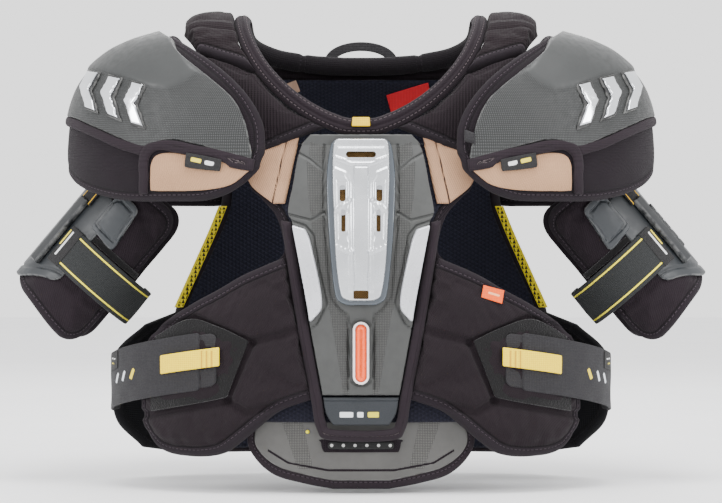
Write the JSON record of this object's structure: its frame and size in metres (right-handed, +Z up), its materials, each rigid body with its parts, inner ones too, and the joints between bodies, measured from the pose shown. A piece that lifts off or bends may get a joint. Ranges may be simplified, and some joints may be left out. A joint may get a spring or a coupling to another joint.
{
  "type": "hockey shoulder pads",
  "caption": "Padded upper-body protector with a chest and back panel, floating shoulder caps, hinged biceps guards, waist straps and an adjustable belly pad.",
  "frame": {"origin": "middle of the neck opening, level with the tops of the wearer's shoulders, which carry the pads", "axes": "+Z up, front faces -Y, wearer's left is +X"},
  "size_m": [0.6556, 0.3109, 0.4395],
  "materials": {
    "navy_mesh": "fine woven mesh",
    "black_fabric": "matt woven",
    "grey_foam": "moulded matt foam",
    "badge": "satin",
    "tan_cloth": "ribbed stretch cloth",
    "loop_pile": "looped pile",
    "silver": "satin metallic",
    "clear_rim": "translucent grey",
    "brass_mesh": "fine mesh",
    "white": "satin",
    "orange": "satin",
    "webbing": "ribbed elastic",
    "yellow": "soft matt",
    "cap_shell": "knurled satin",
    "chrome_mark": "bright",
    "arm_shell": "satin",
    "spine": "satin",
    "black_plastic": "satin"
  },
  "bodies": {
    "trunk": {"front_liner": "navy_mesh", "sternum_foam": "grey_foam", "sternum_binding": "black_fabric", "badge_panel": "badge", "size_tag": "orange", "sternum_rim": "clear_rim", "sternum_mesh": "brass_mesh", "sternum_shell": "silver", "capsule_ring": "white", "capsule_core": "orange", "neck_binding": "black_fabric", "collar_roll": "black_fabric", "back_yoke": "black_fabric", "back_panel": "black_fabric", "back_liner": "navy_mesh", "spine_guard": "spine", "chest_cloth_left": "tan_cloth", "chest_cloth_right": "tan_cloth", "front_wing_left": "black_fabric", "front_wing_right": "black_fabric", "wing_fastener_left": "loop_pile", "wing_fastener_right": "loop_pile", "side_insert_left": "silver", "side_insert_right": "silver", "clavicle_pad_left": "black_fabric", "clavicle_pad_right": "black_fabric", "shoulder_arch_left": "black_fabric", "shoulder_arch_right": "black_fabric", "armhole_trim_left": "yellow", "armhole_trim_right": "yellow"},
    "belly": {"belly_pad": "black_fabric", "belly_panel": "grey_foam", "belly_bar": "black_plastic"},
    "loop": {"hanging_loop": "webbing"},
    "cap_left": {"cap_pad_left": "black_fabric", "cap_shell_left": "cap_shell", "cap_patch_left": "tan_cloth", "cap_emblem_left": "chrome_mark"},
    "hanger_left": {"arm_hanger_left": "webbing", "arm_rail_left": "black_plastic"},
    "guard_left": {"arm_pad_left": "black_fabric", "arm_shell_left": "arm_shell"},
    "arm_strap_left": {"arm_strap_left": "webbing"},
    "rear_wing_left": {"rear_wing_left": "black_fabric"},
    "waist_strap_left": {"waist_strap_left": "webbing", "strap_tab_left": "yellow"},
    "cap_right": {"cap_pad_right": "black_fabric", "cap_shell_right": "cap_shell", "cap_patch_right": "tan_cloth", "cap_emblem_right": "chrome_mark"},
    "hanger_right": {"arm_hanger_right": "webbing", "arm_rail_right": "black_plastic"},
    "guard_right": {"arm_pad_right": "black_fabric", "arm_shell_right": "arm_shell"},
    "arm_strap_right": {"arm_strap_right": "webbing"},
    "rear_wing_right": {"rear_wing_right": "black_fabric"},
    "waist_strap_right": {"waist_strap_right": "webbing", "strap_tab_right": "yellow"}
  },
  "joints": [
    {"name": "belly_adjust", "type": "slide", "parent": "trunk", "child": "belly", "axis": [0, 0, 1], "range_m": [-0.012, 0.012]},
    {"name": "loop_fold", "type": "hinge", "parent": "trunk", "child": "loop", "pos_m": [0, 0.1075, -0.009], "axis": [-1, 0, 0], "range_deg": [0, 60]},
    {"name": "cap_lift_left", "type": "hinge", "parent": "trunk", "child": "cap_left", "pos_m": [0.168, 0, 0.026], "axis": [0, -1, 0], "range_deg": [0, 35]},
    {"name": "guard_swing_left", "type": "hinge", "parent": "cap_left", "child": "hanger_left", "pos_m": [0.2035, 0, -0.0835], "axis": [0, -1, 0], "range_deg": [-6, 8]},
    {"name": "guard_length_left", "type": "slide", "parent": "hanger_left", "child": "guard_left", "axis": [0.6428, 0, -0.766], "range_m": [-0.01, 0.012]},
    {"name": "arm_strap_open_left", "type": "hinge", "parent": "guard_left", "child": "arm_strap_left", "pos_m": [0.2181, 0.0291, -0.2377], "axis": [0.6428, 0, -0.766], "range_deg": [0, 50]},
    {"name": "rear_wing_flex_left", "type": "hinge", "parent": "trunk", "child": "rear_wing_left", "pos_m": [0.186, 0.096, -0.32], "axis": [0, 0, 1], "range_deg": [0, 15]},
    {"name": "waist_strap_open_left", "type": "hinge", "parent": "rear_wing_left", "child": "waist_strap_left", "pos_m": [0.2285, 0.033, -0.32], "axis": [0, 0, 1], "range_deg": [0, 60]},
    {"name": "cap_lift_right", "type": "hinge", "parent": "trunk", "child": "cap_right", "pos_m": [-0.168, 0, 0.026], "axis": [0, 1, 0], "range_deg": [0, 35]},
    {"name": "guard_swing_right", "type": "hinge", "parent": "cap_right", "child": "hanger_right", "pos_m": [-0.2035, 0, -0.0835], "axis": [0, 1, 0], "range_deg": [-6, 8]},
    {"name": "guard_length_right", "type": "slide", "parent": "hanger_right", "child": "guard_right", "axis": [-0.6428, 0, -0.766], "range_m": [-0.01, 0.012]},
    {"name": "arm_strap_open_right", "type": "hinge", "parent": "guard_right", "child": "arm_strap_right", "pos_m": [-0.2181, 0.0291, -0.2377], "axis": [0.6428, 0, 0.766], "range_deg": [0, 50]},
    {"name": "rear_wing_flex_right", "type": "hinge", "parent": "trunk", "child": "rear_wing_right", "pos_m": [-0.186, 0.096, -0.32], "axis": [0, 0, -1], "range_deg": [0, 15]},
    {"name": "waist_strap_open_right", "type": "hinge", "parent": "rear_wing_right", "child": "waist_strap_right", "pos_m": [-0.2285, 0.033, -0.32], "axis": [0, 0, -1], "range_deg": [0, 60]}
  ]
}
